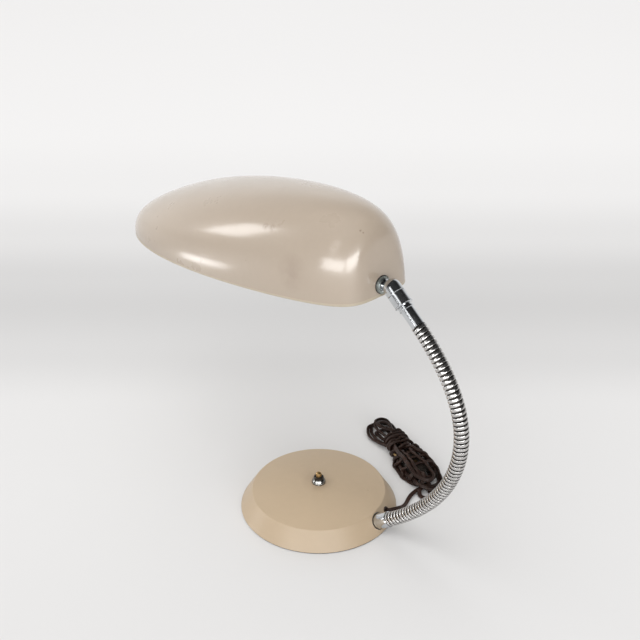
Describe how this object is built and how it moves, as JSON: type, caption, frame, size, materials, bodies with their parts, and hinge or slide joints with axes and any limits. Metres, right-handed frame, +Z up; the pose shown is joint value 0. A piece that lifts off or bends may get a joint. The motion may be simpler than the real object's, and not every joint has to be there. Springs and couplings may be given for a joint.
{
  "type": "gooseneck desk lamp",
  "caption": "Gooseneck desk lamp with a weighted round base, a push switch, a chrome flexible neck and an egg-shaped tilting shade.",
  "frame": {"origin": "centre of the base's underside, where it rests on the table", "axes": "+Z up; +X from the base's centre through the foot of the neck; the shade reaches back over -X"},
  "size_m": [0.4527, 0.2425, 0.3373],
  "materials": {
    "base_paint": "satin beige paint",
    "black_phenolic": "moulded",
    "brass": "aged",
    "chrome": "polished",
    "cord": "aged rubber twin flex",
    "gasket": "black",
    "glass": "frosted",
    "iron": "as cast",
    "pad": "felt",
    "porcelain": "glazed",
    "shade_paint": "satin beige paint",
    "spring_steel": "spring",
    "steel": "plain",
    "wire": "insulated wire",
    "zinc": "zinc plated"
  },
  "bodies": {
    "base": {"base_pad": "pad", "base_plate": "steel", "base_shell": "base_paint", "base_weight": "iron", "base_wires": "wire", "cord_bush": "black_phenolic", "cord_hank": "cord", "cord_tube": "cord", "neck_coil_1": "chrome", "neck_wire_1": "wire", "plate_screws": "steel", "plug_body": "black_phenolic", "plug_pins": "brass", "plug_screw": "brass", "root_ferrule": "chrome", "root_nut": "steel", "root_seat": "steel", "switch_back_nut": "steel", "switch_body": "black_phenolic", "switch_bush": "black_phenolic", "switch_lock_washer": "steel", "switch_ring_nut": "chrome", "switch_spring": "spring_steel", "switch_terminals": "brass"},
    "neck_2": {"neck_coil_2": "chrome", "neck_wire_2": "wire"},
    "neck_3": {"neck_coil_3": "chrome", "neck_wire_3": "wire"},
    "neck_4": {"neck_coil_4": "chrome", "neck_wire_4": "wire"},
    "neck_5": {"neck_coil_5": "chrome", "neck_wire_5": "wire"},
    "neck_6": {"neck_coil_6": "chrome", "neck_wire_6": "wire"},
    "neck_7": {"neck_coil_7": "chrome", "neck_wire_7": "wire", "top_ferrule": "chrome"},
    "swivel": {"ball_seat": "steel", "seat_spring": "spring_steel", "swivel_cap": "chrome", "swivel_cup": "chrome"},
    "shade": {"bulb_cap": "brass", "bulb_glass": "glass", "bulb_stem": "glass", "holder_bracket": "steel", "holder_cap": "black_phenolic", "holder_contact": "brass", "holder_insulator": "porcelain", "holder_leads": "wire", "holder_nipple": "brass", "holder_ring": "black_phenolic", "holder_screw_shell": "brass", "holder_sleeve": "black_phenolic", "shade_gasket": "gasket", "shade_shell": "shade_paint", "shade_washer": "zinc", "stub_nut": "steel", "swivel_ball": "chrome"},
    "button": {"switch_plunger": "brass"}
  },
  "joints": [
    {"name": "neck_lower_bend", "type": "hinge", "parent": "base", "child": "neck_2", "pos_m": [0.1167, -0.0013, 0.04503], "axis": [0.0904, 0.9959, 0], "range_deg": [-12, 12]},
    {"name": "neck_side_bend", "type": "hinge", "parent": "neck_2", "child": "neck_3", "pos_m": [0.14126, -0.00475, 0.07541], "axis": [-0.8186, 0.1548, 0.5532], "range_deg": [-12, 12]},
    {"name": "neck_lower_bend_2", "type": "hinge", "parent": "neck_3", "child": "neck_4", "pos_m": [0.15859, -0.00834, 0.11037], "axis": [0.2079, 0.9781, 0], "range_deg": [-12, 12]},
    {"name": "neck_upper_bend", "type": "hinge", "parent": "neck_4", "child": "neck_5", "pos_m": [0.16533, -0.00977, 0.14886], "axis": [-0.2079, -0.9781, 0], "range_deg": [-12, 12]},
    {"name": "neck_side_bend_2", "type": "hinge", "parent": "neck_5", "child": "neck_6", "pos_m": [0.1574, -0.00809, 0.18701], "axis": [-0.8954, 0.1903, -0.4026], "range_deg": [-12, 12]},
    {"name": "neck_upper_bend_2", "type": "hinge", "parent": "neck_6", "child": "neck_7", "pos_m": [0.13649, -0.00364, 0.2198], "axis": [-0.2079, -0.9781, 0], "range_deg": [-12, 12]},
    {"name": "shade_swivel", "type": "hinge", "parent": "neck_7", "child": "swivel", "pos_m": [0.07503, 0.00942, 0.272], "axis": [-0.7867, 0.1672, 0.5942], "range_deg": [-165, 165]},
    {"name": "shade_tilt", "type": "hinge", "parent": "swivel", "child": "shade", "pos_m": [0.07503, 0.00942, 0.272], "axis": [0.2079, 0.9781, 0], "range_deg": [-38, 40]},
    {"name": "switch_press", "type": "slide", "parent": "base", "child": "button", "axis": [0, 0, -1], "range_m": [0, 0.003], "stiffness_N_per_m": 900, "springref_m": -0.0025, "deforming": ["switch_spring"]}
  ],
  "couplings": [
    {"joint": "neck_lower_bend_2", "follows": "neck_lower_bend", "ratio": 1},
    {"joint": "neck_side_bend_2", "follows": "neck_side_bend", "ratio": 1},
    {"joint": "neck_upper_bend_2", "follows": "neck_upper_bend", "ratio": 1}
  ]
}
